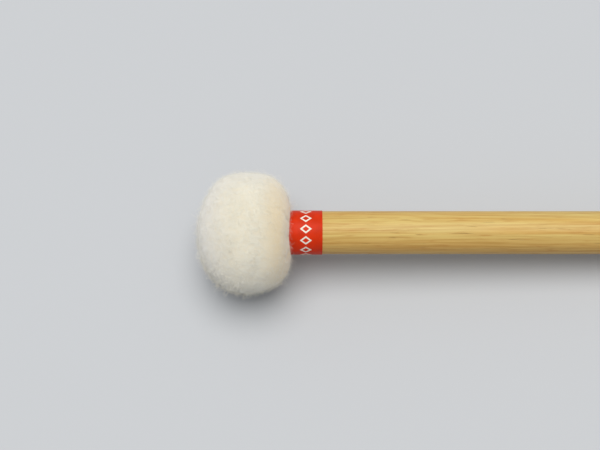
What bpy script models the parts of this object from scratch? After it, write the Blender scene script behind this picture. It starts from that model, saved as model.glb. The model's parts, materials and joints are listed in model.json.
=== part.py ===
"""A timpani mallet with a soft felt ball head, modelled piece by piece as it comes apart on a bench.

A straight hickory shaft ends in a tenon, which carries a turned maple core. A wood screw and a washer draw
the core onto the tenon's shoulder. A band of hard felt and two felt pads fill the core out to a ball. One
disc of soft white felt is pulled over it and gathered into pleats round the shaft. A knotted thread draws
it tight inside a pocket that the felt closes over. A red tape label is wound round the shaft behind it.

Every piece lies on the mallet's own axis, which runs along +X. A station is a distance along that axis
from the crown of the head, and a radius is a distance from it. The finished mallet is laid down with its
head and its butt on the ground, at z = 0, and the middle of its length at x = 0. Lengths are in metres,
and +Z is up.
"""

import math

import bmesh
import bpy
from mathutils import Matrix, Vector

MM = 0.001

# The whole mallet
MALLET_LENGTH = 375.0 * MM
SEAT_GAP = 0.3 * MM
REST_FLAT_DEPTH = 0.5 * MM

# Shaft
SHAFT_DIAMETER = 14.5 * MM
SHAFT_SIDES = 40
SHOULDER_CHAMFER = 0.4 * MM
BUTT_ROUNDING = 5.5 * MM
BUTT_STEPS = 6
TENON_DIAMETER = 9.6 * MM
TENON_CHAMFER = 0.8 * MM
GLUE_GROOVES = 2
GLUE_GROOVE_WIDTH = 1.2 * MM
GLUE_GROOVE_DEPTH = 0.35 * MM

# Outline of the head: two quarter superellipses that meet at its widest station
HEAD_DIAMETER = 41.0 * MM
FRONT_DEPTH = 16.8 * MM
REAR_DEPTH = 15.2 * MM
FRONT_FULLNESS = 2.2
REAR_FULLNESS = 2.7

# Cover: soft felt, pleated where it is gathered, that closes over a pocket round the drawn collar
COVER_THICKNESS = 5.0 * MM
PLEATS = 11
SIDES_PER_PLEAT = 4
PLEAT_DEPTH = 0.5 * MM
PLEAT_REACH = 6.5 * MM
PUCKER_DEPTH = 0.3 * MM
COLLAR_THICKNESS = 0.8 * MM
MOUTH_GAP = 0.3 * MM
MOUTH_ROUNDING = 0.5 * MM
MOUTH_WALL = 0.5 * MM

# Drawstring: waxed thread tied once round the collar
THREAD_DIAMETER = 0.6 * MM
THREAD_POINTS = 48
KNOT_LENGTH = 1.8 * MM
KNOT_WIDTH = 1.1 * MM
KNOT_ANGLE = math.radians(205)

# Felt under the cover
LINER_THICKNESS = 4.4 * MM
LINER_EDGE = 1.0 * MM
LINER_SEAM = 0.5 * MM
FRONT_PAD_THICKNESS = 2.4 * MM
REAR_PAD_THICKNESS = 2.6 * MM
PAD_RIM = 0.6 * MM

# Core
CORE_ROUNDING = 1.8 * MM
CORE_WEB = 2.6 * MM
CORE_FLUTES = 3
CORE_FLUTE_WIDTH = 1.4 * MM
CORE_FLUTE_DEPTH = 0.4 * MM

# Screw and washer that hold the core on the tenon
WASHER_DIAMETER = 9.8 * MM
WASHER_THICKNESS = 1.0 * MM
WASHER_CHAMFER = 0.2 * MM
SCREW_DIAMETER = 3.5 * MM
SCREW_LENGTH = 13.0 * MM
SCREW_POINT = 3.0 * MM
SCREW_HEAD_DIAMETER = 6.4 * MM
SCREW_HEAD_HEIGHT = 1.9 * MM
SCREW_HEAD_STEPS = 4
SCREW_SLOT_WIDTH = 0.9 * MM
SCREW_SLOT_DEPTH = 0.8 * MM
FITTING_SIDES = 28

# Label
LABEL_WIDTH = 11.9 * MM
TAPE_THICKNESS = 0.2 * MM
TAPE_SEAT_GAP = 0.15 * MM
TAPE_OVERLAP = math.radians(30)
TAPE_RAMP = math.radians(5)
TAPE_CUT = math.radians(0.6)
TAPE_END_ANGLE = math.radians(150)
LABEL_SIDES = 60

# Radii and stations that follow from the sizes above
HEAD_RADIUS = HEAD_DIAMETER / 2
EQUATOR = FRONT_DEPTH
SHAFT_RADIUS = SHAFT_DIAMETER / 2
TENON_RADIUS = TENON_DIAMETER / 2
THREAD_RADIUS = THREAD_DIAMETER / 2
SCREW_RADIUS = SCREW_DIAMETER / 2
BORE_RADIUS = SHAFT_RADIUS + SEAT_GAP
COLLAR_RADIUS = BORE_RADIUS + COLLAR_THICKNESS
THREAD_PATH_RADIUS = COLLAR_RADIUS + SEAT_GAP + THREAD_RADIUS
POCKET_RADIUS = THREAD_PATH_RADIUS + THREAD_RADIUS + SEAT_GAP
TAPE_RADIUS = SHAFT_RADIUS + TAPE_SEAT_GAP
MOUTH_RADIUS = TAPE_RADIUS + 2 * TAPE_THICKNESS + MOUTH_GAP
LINING_INSET = COVER_THICKNESS + SEAT_GAP
CORE_RADIUS = HEAD_RADIUS - LINING_INSET - LINER_THICKNESS - SEAT_GAP
PAD_BACK = LINING_INSET + FRONT_PAD_THICKNESS
CORE_FRONT = PAD_BACK + SEAT_GAP
CORE_REAR = EQUATOR + REAR_DEPTH - LINING_INSET - REAR_PAD_THICKNESS
SHOULDER = CORE_REAR + SEAT_GAP
SCREW_SEAT = CORE_FRONT + SCREW_HEAD_HEIGHT
WASHER_FRONT = SCREW_SEAT + SEAT_GAP
RECESS_FLOOR = WASHER_FRONT + WASHER_THICKNESS + SEAT_GAP
TENON_FRONT = RECESS_FLOOR + CORE_WEB + SEAT_GAP
SCREW_TIP = SCREW_SEAT + SCREW_LENGTH


def shell_form(station, inset):
    """Depth and fullness of the quarter outline, drawn in by inset, that holds a station."""
    if station < EQUATOR:
        return FRONT_DEPTH - inset, FRONT_FULLNESS
    return REAR_DEPTH - inset, REAR_FULLNESS


def quarter_root(share, fullness):
    """The other coordinate of a unit superellipse's quarter."""
    return (1 - min(share, 1.0) ** fullness) ** (1 / fullness)


def shell_radius(station, inset):
    """Radius of the head's outline, drawn in by inset, at a station."""
    depth, fullness = shell_form(station, inset)
    return (HEAD_RADIUS - inset) * quarter_root(abs(station - EQUATOR) / depth, fullness)


def rear_station(radius, inset):
    """Station behind the widest point where the outline, drawn in by inset, has this radius."""
    return EQUATOR + (REAR_DEPTH - inset) * quarter_root(radius / (HEAD_RADIUS - inset), REAR_FULLNESS)


def shell_arc(inset, start, end, count, hollow=False):
    """Points on the head's outline, drawn in by inset, spaced by the angle of their direction.

    The chords between the points run just inside the outline, or just outside it round a hollow.
    """
    first, last = (shell_angle(station, radius) for station, radius in (start, end))
    spacing = (last - first) / (count - 1)
    points = []
    for step in range(count):
        angle = first + spacing * step
        side, reach = math.cos(angle), math.sin(angle)
        depth, fullness = shell_form(EQUATOR + side, inset)
        lengths = (abs(side) / depth) ** fullness + (abs(reach) / (HEAD_RADIUS - inset)) ** fullness
        scale = lengths ** (-1 / fullness)
        if hollow:
            scale /= math.cos(spacing / 2)
        points.append((EQUATOR + side * scale, max(reach, 0.0) * scale))
    return points


def shell_angle(station, radius):
    """Direction of an outline point from the head's middle: 0 is the rear and a half turn the crown."""
    return math.atan2(radius, station - EQUATOR)


def round_corner(station, radius, rounding, steps):
    """Quarter round from a cylinder of this radius into the flat face that ends at this station."""
    angles = (math.pi / 2 * step / steps for step in range(steps + 1))
    return [
        (station - rounding * (1 - math.sin(angle)), radius - rounding * (1 - math.cos(angle)))
        for angle in angles
    ]


def srgb(red, green, blue):
    """A colour as read from a picture, from 0 to 255, as Blender's linear values."""
    return [((value / 255 + 0.055) / 1.055) ** 2.4 for value in (red, green, blue)] + [1.0]


def finish_material(name, colour, roughness, metallic=0.0):
    material = bpy.data.materials.new(name)
    material.use_nodes = True
    shader = material.node_tree.nodes["Principled BSDF"]
    shader.inputs["Base Color"].default_value = colour
    shader.inputs["Roughness"].default_value = roughness
    shader.inputs["Metallic"].default_value = metallic
    return material


def add_piece(name, mesh, parent, station, material, sharp=math.radians(40)):
    """Puts a mesh on the mallet's axis as a named piece, with its origin at its own station."""
    mesh.transform(Matrix.Translation((-station, 0, 0)))
    mesh.shade_smooth()
    mesh.set_sharp_from_angle(angle=sharp)
    mesh.materials.append(material)
    piece = bpy.data.objects.new(name, mesh)
    bpy.context.scene.collection.objects.link(piece)
    piece.parent = parent
    piece.location.x = station
    return piece


def to_mesh(name, bm):
    bmesh.ops.remove_doubles(bm, verts=bm.verts, dist=1e-7)
    bmesh.ops.recalc_face_normals(bm, faces=bm.faces)
    mesh = bpy.data.meshes.new(name)
    bm.to_mesh(mesh)
    bm.free()
    return mesh


def spin_outline(bm, outline, sides, closed=False):
    """Turns an outline of (station, radius) points round the axis and returns its vertices."""
    before = set(bm.verts)
    line = [bm.verts.new((station, 0, radius)) for station, radius in outline]
    pairs = list(zip(line, line[1:]))
    if closed:
        pairs.append((line[-1], line[0]))
    edges = [bm.edges.new(pair) for pair in pairs]
    bmesh.ops.spin(
        bm, geom=line + edges, cent=(0, 0, 0), axis=(1, 0, 0), angle=math.tau, steps=sides, use_merge=True
    )
    turned = [vertex for vertex in bm.verts if vertex not in before]
    poles = [vertex for vertex in turned if math.hypot(vertex.co.y, vertex.co.z) < 1e-7]
    bmesh.ops.remove_doubles(bm, verts=poles, dist=1e-7)
    return [vertex for vertex in bm.verts if vertex not in before]


def turned_mesh(name, outline, sides, closed=False):
    bm = bmesh.new()
    spin_outline(bm, outline, sides, closed)
    return to_mesh(name, bm)


def lowest(outline, tilt):
    """Height of an outline's lowest point over the axis at station 0, once the butt is tilted down."""
    return min(-radius * math.cos(tilt) - station * math.sin(tilt) for station, radius in outline)


def resting_tilt(head, shaft):
    """Angle at which the head, pressed flat by REST_FLAT_DEPTH, and the butt touch the same level."""
    low, high = 0.0, math.radians(30)
    for _ in range(50):
        tilt = (low + high) / 2
        if lowest(head, tilt) + REST_FLAT_DEPTH < lowest(shaft, tilt):
            low = tilt
        else:
            high = tilt
    return tilt


def lay_down(axis, head, shaft):
    """Tilts and lifts the axis so that the mallet rests at z = 0, with its middle at x = 0."""
    tilt = resting_tilt(head, shaft)
    outline = head + shaft
    front = min(station * math.cos(tilt) - radius * math.sin(tilt) for station, radius in outline)
    back = max(station * math.cos(tilt) + radius * math.sin(tilt) for station, radius in outline)
    axis.rotation_euler.y = tilt
    axis.location = (-(front + back) / 2, 0, -lowest(shaft, tilt))


def shaft_outline():
    """From the bottom of the screw's pilot hole, over the tenon and its shoulder, to the butt."""
    pilot_radius = SCREW_RADIUS + SEAT_GAP
    pilot_floor = SCREW_TIP + 2 * SEAT_GAP
    outline = [
        (pilot_floor, 0.0),
        (pilot_floor - pilot_radius, pilot_radius),
        (TENON_FRONT, pilot_radius),
        (TENON_FRONT, TENON_RADIUS - TENON_CHAMFER),
        (TENON_FRONT + TENON_CHAMFER, TENON_RADIUS),
    ]
    for index in range(GLUE_GROOVES):
        middle = TENON_FRONT + (SHOULDER - TENON_FRONT) * (index + 1) / (GLUE_GROOVES + 1)
        outline += [
            (middle - GLUE_GROOVE_WIDTH / 2, TENON_RADIUS),
            (middle, TENON_RADIUS - GLUE_GROOVE_DEPTH),
            (middle + GLUE_GROOVE_WIDTH / 2, TENON_RADIUS),
        ]
    outline += [
        (SHOULDER, TENON_RADIUS),
        (SHOULDER, SHAFT_RADIUS - SHOULDER_CHAMFER),
        (SHOULDER + SHOULDER_CHAMFER, SHAFT_RADIUS),
    ]
    rounding = min(BUTT_ROUNDING, SHAFT_RADIUS)
    outline += round_corner(MALLET_LENGTH, SHAFT_RADIUS, rounding, BUTT_STEPS)
    outline.append((MALLET_LENGTH, 0.0))
    return outline


def core_outline():
    """Ring section of the core: recess for the screw, web, tenon bore and fluted rim."""
    screw_hole = SCREW_RADIUS + SEAT_GAP
    recess = WASHER_DIAMETER / 2 + SEAT_GAP
    tenon_bore = TENON_RADIUS + SEAT_GAP
    web_back = RECESS_FLOOR + CORE_WEB
    rim_front = CORE_FRONT + CORE_ROUNDING
    rim_back = CORE_REAR - CORE_ROUNDING / 2
    rim = [
        (2 * CORE_FRONT - station, radius)
        for station, radius in reversed(round_corner(CORE_FRONT, CORE_RADIUS, CORE_ROUNDING, 3))
    ]
    for index in range(CORE_FLUTES):
        middle = rim_front + (rim_back - rim_front) * (index + 0.5) / CORE_FLUTES
        rim += [
            (middle - CORE_FLUTE_WIDTH / 2, CORE_RADIUS),
            (middle, CORE_RADIUS - CORE_FLUTE_DEPTH),
            (middle + CORE_FLUTE_WIDTH / 2, CORE_RADIUS),
        ]
    rim += [(rim_back, CORE_RADIUS), (CORE_REAR, CORE_RADIUS - CORE_ROUNDING / 2)]
    bore = [
        (CORE_REAR, tenon_bore),
        (web_back, tenon_bore),
        (web_back, screw_hole),
        (RECESS_FLOOR, screw_hole),
        (RECESS_FLOOR, recess),
        (CORE_FRONT, recess),
    ]
    return rim + bore


def washer_outline():
    outer, inner = WASHER_DIAMETER / 2, SCREW_RADIUS + SEAT_GAP
    back = WASHER_FRONT + WASHER_THICKNESS
    return [
        (WASHER_FRONT, inner),
        (WASHER_FRONT, outer - WASHER_CHAMFER),
        (WASHER_FRONT + WASHER_CHAMFER, outer),
        (back - WASHER_CHAMFER, outer),
        (back, outer - WASHER_CHAMFER),
        (back, inner),
    ]


def screw_outline():
    """Round head, plain shank and point."""
    angles = [math.pi / 2 * step / SCREW_HEAD_STEPS for step in range(SCREW_HEAD_STEPS + 1)]
    dome = [
        (SCREW_SEAT - SCREW_HEAD_HEIGHT * math.cos(angle), SCREW_HEAD_DIAMETER / 2 * math.sin(angle))
        for angle in angles
    ]
    return dome + [
        (SCREW_SEAT, SCREW_RADIUS),
        (SCREW_TIP - SCREW_POINT, SCREW_RADIUS),
        (SCREW_TIP, 0.0),
    ]


def front_pad_outline():
    """Domed felt disc: its front follows the inside of the cover, and its back lies on the core."""
    edge = PAD_BACK - PAD_RIM
    radius = shell_radius(edge, LINING_INSET)
    dome = shell_arc(LINING_INSET, (0.0, 0.0), (edge, radius), 7)
    return dome + [(PAD_BACK, radius), (PAD_BACK, 0.0)]


def rear_pad_outline():
    """Domed felt washer round the shaft, between the core and the gathered end of the cover."""
    edge = SHOULDER + PAD_RIM
    radius = shell_radius(edge, LINING_INSET)
    neck = (rear_station(BORE_RADIUS, LINING_INSET), BORE_RADIUS)
    dome = shell_arc(LINING_INSET, (edge, radius), neck, 6)
    return [(SHOULDER, BORE_RADIUS), (SHOULDER, radius)] + dome


def liner_outline():
    """Section of the hard felt band between the core and the cover."""
    inner = CORE_RADIUS + SEAT_GAP
    share = (inner + LINER_EDGE) / (HEAD_RADIUS - LINING_INSET)
    front = EQUATOR - (FRONT_DEPTH - LINING_INSET) * quarter_root(share, FRONT_FULLNESS)
    start = (front, shell_radius(front, LINING_INSET))
    end = (CORE_REAR, shell_radius(CORE_REAR, LINING_INSET))
    return [(front, inner)] + shell_arc(LINING_INSET, start, end, 9) + [(CORE_REAR, inner)]


def neck_stations():
    """Rear of the rolled edge, rear and floor of the pocket inside it, and end of the collar."""
    roll = rear_station(MOUTH_RADIUS + MOUTH_ROUNDING, 0.0)
    pocket_rear = roll - MOUTH_ROUNDING - MOUTH_WALL
    pocket_floor = pocket_rear - PLEAT_DEPTH - max(KNOT_WIDTH, THREAD_DIAMETER) - 2 * SEAT_GAP
    return roll, pocket_rear, pocket_floor, pocket_rear - PLEAT_DEPTH


def cover_outer_outline():
    """Outside of the cover from the crown over the ball and through the mouth to the rear of the pocket."""
    roll, pocket_rear, _, _ = neck_stations()
    ball = shell_arc(0.0, (0.0, 0.0), (EQUATOR, HEAD_RADIUS), 8)
    rear = shell_arc(0.0, (EQUATOR, HEAD_RADIUS), (roll, MOUTH_RADIUS + MOUTH_ROUNDING), 7)
    return ball + rear[1:] + [(roll - MOUTH_ROUNDING, MOUTH_RADIUS), (pocket_rear, POCKET_RADIUS)]


def cover_inner_outline():
    """Inside of the cover: floor of the pocket, collar, and the lining from the neck round to the crown."""
    _, _, pocket_floor, collar_end = neck_stations()
    neck = (rear_station(BORE_RADIUS, COVER_THICKNESS), BORE_RADIUS)
    rear = shell_arc(COVER_THICKNESS, neck, (EQUATOR, HEAD_RADIUS), 5, hollow=True)
    front = shell_arc(COVER_THICKNESS, (EQUATOR, HEAD_RADIUS), (0.0, 0.0), 6, hollow=True)
    collar = [
        (pocket_floor, POCKET_RADIUS),
        (pocket_floor, COLLAR_RADIUS),
        (collar_end, COLLAR_RADIUS),
        (collar_end, BORE_RADIUS),
    ]
    return collar + rear + front[1:]


def smooth(share):
    share = min(max(share, 0.0), 1.0)
    return share * share * (3 - 2 * share)


def gather(vertices):
    """Pulls the cover's rear into pleats, deepest at the mouth, that fade out over PLEAT_REACH."""
    for vertex in vertices:
        radius = math.hypot(vertex.co.y, vertex.co.z)
        if vertex.co.x <= EQUATOR or radius < MOUTH_RADIUS / 2:
            continue
        angle = math.atan2(vertex.co.y, vertex.co.z)
        valley = 0.5 - 0.5 * math.cos(PLEATS * angle)
        drawn = valley * smooth((POCKET_RADIUS + PLEAT_REACH - radius) / PLEAT_REACH)
        pucker = 1 + PUCKER_DEPTH * drawn / radius
        vertex.co = (vertex.co.x - PLEAT_DEPTH * drawn, vertex.co.y * pucker, vertex.co.z * pucker)


def press_flat(bm, axis):
    """Cuts the cover where the resting head is pressed against the ground."""
    to_axis = axis.matrix_basis.inverted()
    cut = bmesh.ops.bisect_plane(
        bm,
        geom=bm.verts[:] + bm.edges[:] + bm.faces[:],
        dist=1e-7,
        plane_co=to_axis @ Vector((0, 0, 0)),
        plane_no=to_axis.to_3x3() @ Vector((0, 0, -1)),
        clear_outer=True,
    )
    rim = [item for item in cut["geom_cut"] if isinstance(item, bmesh.types.BMEdge)]
    bmesh.ops.edgenet_fill(bm, edges=rim)


def build_cover(axis, material):
    """The ball's soft felt skin: the outside and the lining are bridged in the pocket round the collar."""
    sides = PLEATS * SIDES_PER_PLEAT
    bm = bmesh.new()
    gather(spin_outline(bm, cover_outer_outline(), sides))
    spin_outline(bm, cover_inner_outline(), sides)
    bmesh.ops.bridge_loops(bm, edges=[edge for edge in bm.edges if edge.is_boundary])
    press_flat(bm, axis)
    return add_piece("cover", to_mesh("cover", bm), axis, EQUATOR, material, math.radians(60))


def build_liner(axis, material):
    """A strip of hard felt bent round the core, with its two ends nearly meeting at a glued seam."""
    bm = bmesh.new()
    outline = [bm.verts.new((station, 0, radius)) for station, radius in liner_outline()]
    section = bm.faces.new(outline)
    seam = LINER_SEAM / (CORE_RADIUS + SEAT_GAP)
    bmesh.ops.rotate(bm, verts=bm.verts, cent=(0, 0, 0), matrix=Matrix.Rotation(seam / 2, 3, "X"))
    bmesh.ops.spin(
        bm,
        geom=outline + section.edges[:] + [section],
        cent=(0, 0, 0),
        axis=(1, 0, 0),
        angle=math.tau - seam,
        steps=SHAFT_SIDES,
    )
    return add_piece("liner", to_mesh("liner", bm), axis, CORE_FRONT, material)


def build_screw(axis, material):
    mesh = turned_mesh("core_screw", screw_outline(), FITTING_SIDES)
    screw = add_piece("core_screw", mesh, axis, SCREW_SEAT, material)
    bm = bmesh.new()
    bmesh.ops.create_cube(bm, size=1.0)
    size = (2 * SCREW_SLOT_DEPTH, SCREW_HEAD_DIAMETER * 1.2, SCREW_SLOT_WIDTH)
    bmesh.ops.scale(bm, vec=size, verts=bm.verts)
    bmesh.ops.translate(bm, vec=(CORE_FRONT, 0, 0), verts=bm.verts)
    cutter = add_piece("screw_slot_cutter", to_mesh("screw_slot_cutter", bm), axis, SCREW_SEAT, material)
    cutter.hide_render = True
    cutter.display_type = "WIRE"
    slot = screw.modifiers.new("slot", "BOOLEAN")
    slot.operation = "DIFFERENCE"
    slot.object = cutter
    return screw


def tape_radius(angle):
    """Outer radius of the wound tape: one layer, and two where its end overlaps its start."""
    before_end = (TAPE_END_ANGLE - angle) % math.tau
    if before_end > TAPE_OVERLAP:
        return TAPE_RADIUS + TAPE_THICKNESS
    climbed = min(1.0, (TAPE_OVERLAP - before_end) / TAPE_RAMP)
    return TAPE_RADIUS + TAPE_THICKNESS * (1 + climbed)


def build_label(axis, material):
    """Red tape wound once round the shaft from the collar outwards, its end lapped over its start."""
    front = neck_stations()[3] + SEAT_GAP
    even = [math.tau * index / LABEL_SIDES for index in range(LABEL_SIDES)]
    lap = [TAPE_END_ANGLE - TAPE_OVERLAP, TAPE_END_ANGLE - TAPE_OVERLAP + TAPE_RAMP, TAPE_END_ANGLE]
    lap.append(TAPE_END_ANGLE + TAPE_CUT)
    apart = TAPE_CUT / 2
    angles = sorted(lap + [angle for angle in even if all(abs(angle - edge) > apart for edge in lap)])
    bm = bmesh.new()
    rings = []
    for radius_at in (tape_radius, lambda angle: TAPE_RADIUS):
        ring = [
            bm.verts.new((front, radius_at(angle) * math.sin(angle), radius_at(angle) * math.cos(angle)))
            for angle in angles
        ]
        rings += [bm.edges.new(pair) for pair in zip(ring, ring[1:] + ring[:1])]
    bmesh.ops.bridge_loops(bm, edges=rings)
    grown = bmesh.ops.extrude_face_region(bm, geom=bm.faces[:])
    moved = [item for item in grown["geom"] if isinstance(item, bmesh.types.BMVert)]
    bmesh.ops.translate(bm, vec=(LABEL_WIDTH, 0, 0), verts=moved)
    return add_piece("label", to_mesh("label", bm), axis, front, material)


def thread_path():
    """One turn round the neck, open where the knot sits, with straight ends that face the knot."""
    station = neck_stations()[2] + SEAT_GAP + THREAD_RADIUS
    half_knot = KNOT_LENGTH / 2 + SEAT_GAP
    lead = half_knot + THREAD_DIAMETER
    start = math.atan2(lead, THREAD_PATH_RADIUS)
    points = []
    for step in range(THREAD_POINTS):
        angle = start + (math.tau - 2 * start) * step / (THREAD_POINTS - 1)
        points.append((station, THREAD_PATH_RADIUS * math.sin(angle), THREAD_PATH_RADIUS * math.cos(angle)))
    ends = [(station, side * half_knot, THREAD_PATH_RADIUS * math.cos(start)) for side in (1, -1)]
    return [ends[0]] + points + [ends[1]]


def least_gap(points, diameter):
    """Least distance between two stretches of a tube that aren't next to each other along it."""
    least = math.inf
    for index, point in enumerate(points):
        travelled = 0.0
        for other in range(index + 1, len(points)):
            travelled += math.dist(points[other - 1], points[other])
            if travelled > 3 * diameter:
                least = min(least, math.dist(point, points[other]) - diameter)
    return least


def build_drawstring(axis, material):
    points = thread_path()
    print(f"drawstring: least gap to itself {least_gap(points, THREAD_DIAMETER) / MM:.2f} mm")
    curve = bpy.data.curves.new("drawstring", "CURVE")
    curve.dimensions = "3D"
    curve.bevel_depth = THREAD_RADIUS
    curve.bevel_resolution = 1
    curve.use_fill_caps = True
    curve.materials.append(material)
    spline = curve.splines.new("POLY")
    spline.points.add(len(points) - 1)
    for spot, (station, y, z) in zip(spline.points, points):
        spot.co = (0.0, y, z, 1.0)
    thread = bpy.data.objects.new("drawstring", curve)
    bpy.context.scene.collection.objects.link(thread)
    thread.parent = axis
    thread.location.x = points[0][0]
    thread.rotation_euler.x = -KNOT_ANGLE
    return thread


def build_knot(axis, material):
    """Flattened bead between the two ends of the thread, whose tails are trimmed close."""
    station = neck_stations()[2] + SEAT_GAP + KNOT_WIDTH / 2
    bm = bmesh.new()
    bmesh.ops.create_uvsphere(bm, u_segments=12, v_segments=8, radius=0.5)
    bmesh.ops.rotate(bm, verts=bm.verts, cent=(0, 0, 0), matrix=Matrix.Rotation(math.pi / 2, 3, "Y"))
    bmesh.ops.scale(bm, vec=(KNOT_WIDTH, KNOT_LENGTH, THREAD_DIAMETER), verts=bm.verts)
    bmesh.ops.translate(bm, vec=(station, 0, THREAD_PATH_RADIUS), verts=bm.verts)
    turn = Matrix.Rotation(-KNOT_ANGLE, 3, "X")
    bmesh.ops.rotate(bm, verts=bm.verts, cent=(0, 0, 0), matrix=turn)
    return add_piece("drawstring_knot", to_mesh("drawstring_knot", bm), axis, station, material)


def main():
    for leftover in list(bpy.data.objects):
        bpy.data.objects.remove(leftover)

    axis = bpy.data.objects.new("mallet_axis", None)
    bpy.context.scene.collection.objects.link(axis)
    lay_down(axis, cover_outer_outline(), shaft_outline())

    soft_felt = finish_material("soft_white_felt", srgb(232, 226, 208), 0.95)
    hard_felt = finish_material("hard_grey_felt", srgb(186, 180, 168), 0.95)
    hickory = finish_material("varnished_hickory", srgb(220, 188, 122), 0.38)
    maple = finish_material("turned_maple", srgb(226, 205, 165), 0.6)
    steel = finish_material("zinc_plated_steel", srgb(190, 192, 196), 0.35, 1.0)
    tape = finish_material("red_vinyl_tape", srgb(220, 56, 32), 0.35)
    thread = finish_material("waxed_linen_thread", srgb(238, 232, 214), 0.6)

    def turned(name, outline, material, station, sides, closed):
        add_piece(name, turned_mesh(name, outline, sides, closed), axis, station, material)

    turned("shaft", shaft_outline(), hickory, SHOULDER, SHAFT_SIDES, False)
    turned("core", core_outline(), maple, CORE_FRONT, SHAFT_SIDES, True)
    turned("core_washer", washer_outline(), steel, WASHER_FRONT, FITTING_SIDES, True)
    build_screw(axis, steel)
    turned("front_pad", front_pad_outline(), hard_felt, PAD_BACK, SHAFT_SIDES, False)
    turned("rear_pad", rear_pad_outline(), hard_felt, SHOULDER, SHAFT_SIDES, True)
    build_liner(axis, hard_felt)
    build_cover(axis, soft_felt)
    build_drawstring(axis, thread)
    build_knot(axis, thread)
    build_label(axis, tape)


main()
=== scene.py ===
"""The looks of a timpani mallet: a fuzzy felt head, a varnished hickory shaft and a red tape label.

The file is laid out as an add-on and is run as a script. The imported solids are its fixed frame: the wooden
core, its screw and its washer keep their shape and get a finish, and a finer piece replaces every other one.

Pieces are modelled on the mallet's own axis. There x is the station, counted from the crown of the head, and
a turn of zero points up along z and grows towards +y. seat_piece then lays each mesh where the solids lie.
Lengths are in metres.
"""

import json
import math
import random
from collections import namedtuple

import bmesh
import bpy
from bpy.props import FloatProperty, FloatVectorProperty, IntProperty, PointerProperty
from bpy.types import Operator, Panel, PropertyGroup
from mathutils import Matrix, Quaternion, Vector, noise


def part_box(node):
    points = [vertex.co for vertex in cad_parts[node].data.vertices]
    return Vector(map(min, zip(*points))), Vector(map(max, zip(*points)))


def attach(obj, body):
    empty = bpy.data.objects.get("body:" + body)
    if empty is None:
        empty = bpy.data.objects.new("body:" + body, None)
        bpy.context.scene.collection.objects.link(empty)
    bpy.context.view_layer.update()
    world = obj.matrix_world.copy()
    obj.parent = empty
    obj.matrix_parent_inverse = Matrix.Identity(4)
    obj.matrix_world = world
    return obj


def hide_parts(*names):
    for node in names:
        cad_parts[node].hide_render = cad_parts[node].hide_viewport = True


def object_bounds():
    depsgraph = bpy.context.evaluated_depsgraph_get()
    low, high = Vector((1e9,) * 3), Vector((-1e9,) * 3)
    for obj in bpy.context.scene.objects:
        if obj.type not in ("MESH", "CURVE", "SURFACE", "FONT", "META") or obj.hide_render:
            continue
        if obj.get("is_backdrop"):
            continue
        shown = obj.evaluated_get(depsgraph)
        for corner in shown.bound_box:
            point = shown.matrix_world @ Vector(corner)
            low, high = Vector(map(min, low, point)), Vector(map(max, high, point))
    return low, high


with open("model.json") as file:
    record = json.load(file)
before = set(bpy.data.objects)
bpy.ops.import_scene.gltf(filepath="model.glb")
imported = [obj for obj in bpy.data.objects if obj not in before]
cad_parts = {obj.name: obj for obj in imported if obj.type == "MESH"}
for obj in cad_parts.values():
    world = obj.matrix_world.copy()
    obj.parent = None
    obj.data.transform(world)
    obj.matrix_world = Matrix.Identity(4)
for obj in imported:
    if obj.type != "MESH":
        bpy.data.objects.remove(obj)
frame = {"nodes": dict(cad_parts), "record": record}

bl_info = {
    "name": "Timpani Mallet Looks",
    "version": (1, 0, 0),
    "blender": (4, 5, 0),
    "location": "3D View > Sidebar > Mallet",
    "description": "Felt head, hickory shaft, tape label and studio of a timpani mallet",
    "category": "Object",
}

MM = 0.001
SOLID_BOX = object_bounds()

# The mallet's axis, from the place where it is held
GRIP = next(mount for mount in frame["record"]["mounts"] if mount["name"] == "grip")
AXIS = Vector(GRIP["axis"]).normalized()

Extent = namedtuple("Extent", "front rear inner outer")


def find_axis():
    """From the mallet's axis, with x as the station behind the crown, to the world."""
    held = Vector(GRIP["pos_m"])
    crown = min((vertex.co - held).dot(AXIS) for vertex in frame["nodes"]["cover"].data.vertices)
    turn = AXIS.to_track_quat("X", "Z").to_matrix().to_4x4()
    return Matrix.Translation(held + AXIS * crown) @ turn


ON_AXIS = find_axis()
OFF_AXIS = ON_AXIS.inverted()


def radius_of(place):
    return math.hypot(place.y, place.z)


def places_of(node):
    """The vertices of a solid, on the mallet's axis."""
    return [OFF_AXIS @ vertex.co for vertex in frame["nodes"][node].data.vertices]


def extent(node):
    """Front and rear station of a solid, and its least and greatest radius."""
    places = places_of(node)
    stations = [place.x for place in places]
    radii = [radius_of(place) for place in places]
    return Extent(min(stations), max(stations), min(radii), max(radii))


def widest_station(node):
    """Station of a solid's widest ring."""
    return max(places_of(node), key=radius_of).x


COVER = extent("cover")
SHAFT = extent("shaft")
LABEL = extent("label")
LINER = extent("liner")
FRONT_PAD = extent("front_pad")
REAR_PAD = extent("rear_pad")
DRAWSTRING = extent("drawstring")
KNOT = extent("drawstring_knot")
SCREW = extent("core_screw")

# The tape: how close it lies on the shaft, its overlap and the rise into it, and where it ends
TAPE_SEAT = 0.02 * MM
TAPE_INNER = SHAFT.outer + TAPE_SEAT
TAPE_OVERLAP = math.radians(30)
TAPE_RAMP = math.radians(9)
TAPE_END_TURN = math.radians(150)


def srgb(red, green, blue):
    """A colour as read from a picture, from 0 to 255, as Blender's linear values."""
    return tuple(((value / 255 + 0.055) / 1.055) ** 2.4 for value in (red, green, blue))


def length(name, description, default):
    return FloatProperty(
        name=name, description=description, default=default, min=0.0, unit="LENGTH", precision=5
    )


def angle_of(name, description, degrees):
    return FloatProperty(name=name, description=description, default=math.radians(degrees), subtype="ANGLE")


def fullness_of(name, default):
    return FloatProperty(
        name=name, description="2 is round, more is boxier", default=default, min=1.5, max=4.0
    )


def colour(name, description, default):
    return FloatVectorProperty(
        name=name, description=description, default=default, min=0.0, max=1.0, size=3, subtype="COLOR"
    )


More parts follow.
